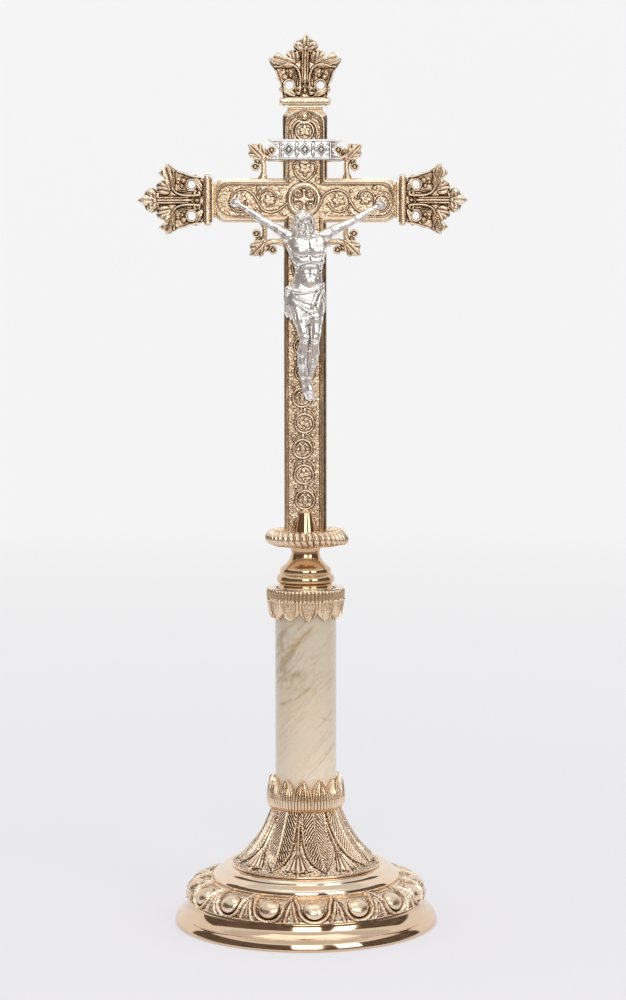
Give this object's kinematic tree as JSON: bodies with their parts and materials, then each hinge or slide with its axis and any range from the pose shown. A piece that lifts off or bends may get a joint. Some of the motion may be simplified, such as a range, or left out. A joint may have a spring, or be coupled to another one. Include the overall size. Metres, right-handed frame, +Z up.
{
  "type": "altar cross",
  "caption": "Free-standing altar cross: round stepped base, leaf foot, stone column, turned neck and a cast Latin cross with pierced leaf ends, corner leaves, a figure and a ribbon plate.",
  "frame": {"origin": "centre of the underside of the base", "axes": "+Z up along the column, the front of the cross faces -Y, +X to the viewer's right"},
  "size_m": [0.1624, 0.131, 0.4388],
  "materials": {
    "polished_brass": "polished and lacquered, light champagne tone",
    "cast_brass": "cast relief, polished high spots, darker matte ground",
    "silver_plate": "bright silver-coloured plate",
    "column_marble": "polished cream stone with olive-grey veins",
    "gasket_rubber": "plain",
    "rod_steel": "zinc plated"
  },
  "bodies": {
    "root": {"base_rim": "polished_brass", "egg_and_dart_ring": "cast_brass", "base_dome": "polished_brass", "leaf_flare_foot": "cast_brass", "lower_leaf_cup": "cast_brass", "lower_column_gasket": "gasket_rubber", "marble_column": "column_marble", "upper_column_gasket": "gasket_rubber", "upper_leaf_cap": "cast_brass", "neck_knop": "polished_brass", "rope_collar": "cast_brass", "cross_socket_cone": "polished_brass", "cross_body": "cast_brass", "finial_top": "cast_brass", "finial_left": "cast_brass", "finial_right": "cast_brass", "finial_studs": "rod_steel", "corner_leaf_upper_left": "cast_brass", "corner_leaf_upper_right": "cast_brass", "corner_leaf_lower_left": "cast_brass", "corner_leaf_lower_right": "cast_brass", "titulus_scroll": "silver_plate", "corpus": "silver_plate", "corpus_rivets": "silver_plate", "titulus_rivets": "silver_plate", "tie_rod": "rod_steel", "clamp_plate": "rod_steel", "lock_washer": "rod_steel", "rod_nut": "rod_steel"}
  },
  "joints": []
}
